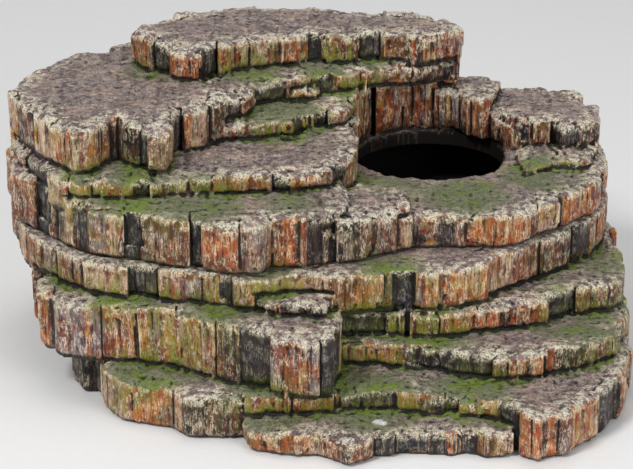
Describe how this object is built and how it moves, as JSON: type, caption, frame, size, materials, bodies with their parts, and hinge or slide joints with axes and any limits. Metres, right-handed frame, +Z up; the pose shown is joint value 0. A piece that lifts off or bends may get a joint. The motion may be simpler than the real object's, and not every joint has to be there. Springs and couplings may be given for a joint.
{
  "type": "resin cave ornament",
  "caption": "Stepped rock cave in painted cast resin: a lift-off upper casting with a round entrance rests on a tray-shaped lower casting.",
  "frame": {"origin": "centre of the bounding box in X and Y, at the level of the foot", "axes": "+Z up, +X along the long side, -Y towards the stepped front that shows the entrance"},
  "size_m": [0.266, 0.218, 0.125],
  "materials": {
    "base_rock": "painted cast resin, brown rock with moss and pale dry-brushed edges, satin",
    "lid_rock": "painted cast resin, purple-brown rock with moss and pale dry-brushed edges, satin"
  },
  "bodies": {
    "base": {"base": "base_rock"},
    "lid": {"lid": "lid_rock"}
  },
  "joints": [
    {"name": "lid_lift", "type": "slide", "parent": "base", "child": "lid", "axis": [0, 0, 1], "range_m": [0, 0.1]}
  ]
}
